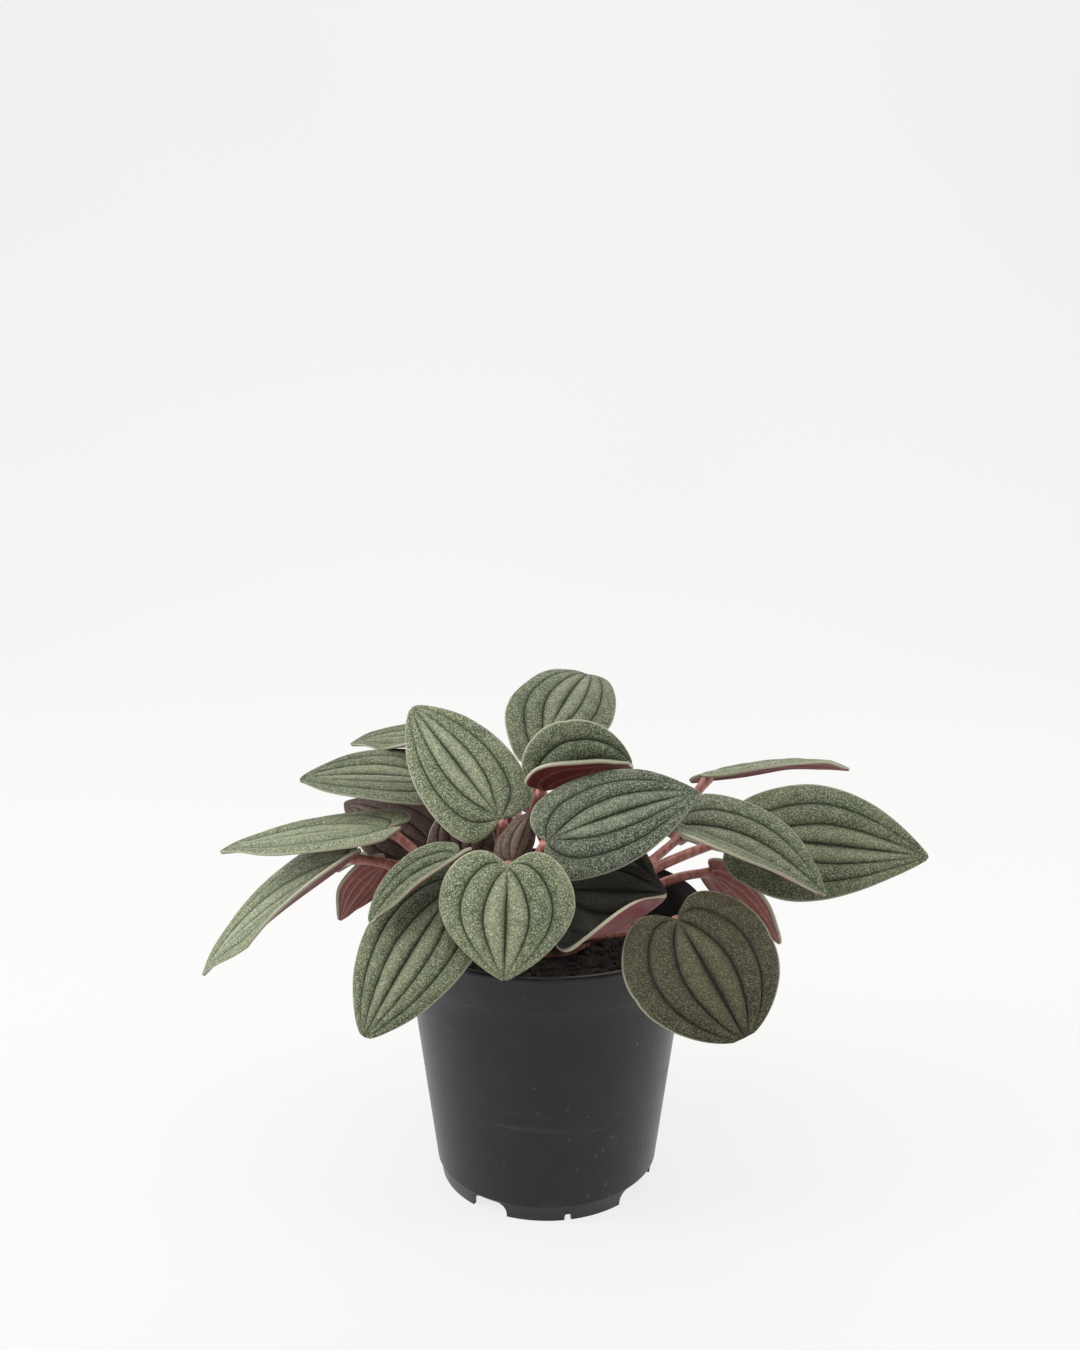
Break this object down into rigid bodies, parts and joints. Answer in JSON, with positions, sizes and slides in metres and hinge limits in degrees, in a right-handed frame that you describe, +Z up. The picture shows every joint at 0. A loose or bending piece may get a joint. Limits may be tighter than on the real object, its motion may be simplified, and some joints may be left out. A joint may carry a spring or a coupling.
{
  "type": "potted peperomia",
  "caption": "Bushy peperomia with ribbed grey-green heart-shaped leaves, wine-red undersides and salmon stalks, in a plain black plastic nursery pot",
  "frame": {"origin": "Centre of the footprint on the surface the pot stands on, which is also the pot's own axis to within two millimetres", "axes": "+Z up along the pot's axis, -Y the front of the plant, +X its right-hand side seen from the front"},
  "size_m": [0.2217, 0.155, 0.1591],
  "materials": {
    "pot_plastic": "satin",
    "soil": "matte",
    "stalk": "satin",
    "leaf": "satin"
  },
  "bodies": {
    "root": {"pot": "pot_plastic", "soil": "soil", "crown": "stalk", "leaf_front_heart": "leaf", "leaf_right_round": "leaf", "leaf_left_hanging": "leaf", "leaf_left_small": "leaf", "leaf_upper_left_big": "leaf", "leaf_left_upper": "leaf", "leaf_left_top": "leaf", "leaf_left_long": "leaf", "leaf_left_drooping": "leaf", "leaf_left_dark": "leaf", "leaf_left_underside": "leaf", "leaf_centre_narrow": "leaf", "leaf_centre_red": "leaf", "leaf_centre_curled": "leaf", "leaf_top": "leaf", "leaf_upper_right_curled": "leaf", "leaf_centre_right_big": "leaf", "leaf_right_dark": "leaf", "leaf_right_mid": "leaf", "leaf_right_far": "leaf", "leaf_right_top": "leaf", "leaf_right_underside": "leaf", "leaf_centre_lower": "leaf", "leaf_back_right_low": "leaf", "leaf_back_right": "leaf", "leaf_back_middle": "leaf", "leaf_back_left": "leaf", "leaf_back_left_low": "leaf", "leaf_back_inner_right": "leaf", "leaf_back_inner_left": "leaf"}
  },
  "joints": []
}
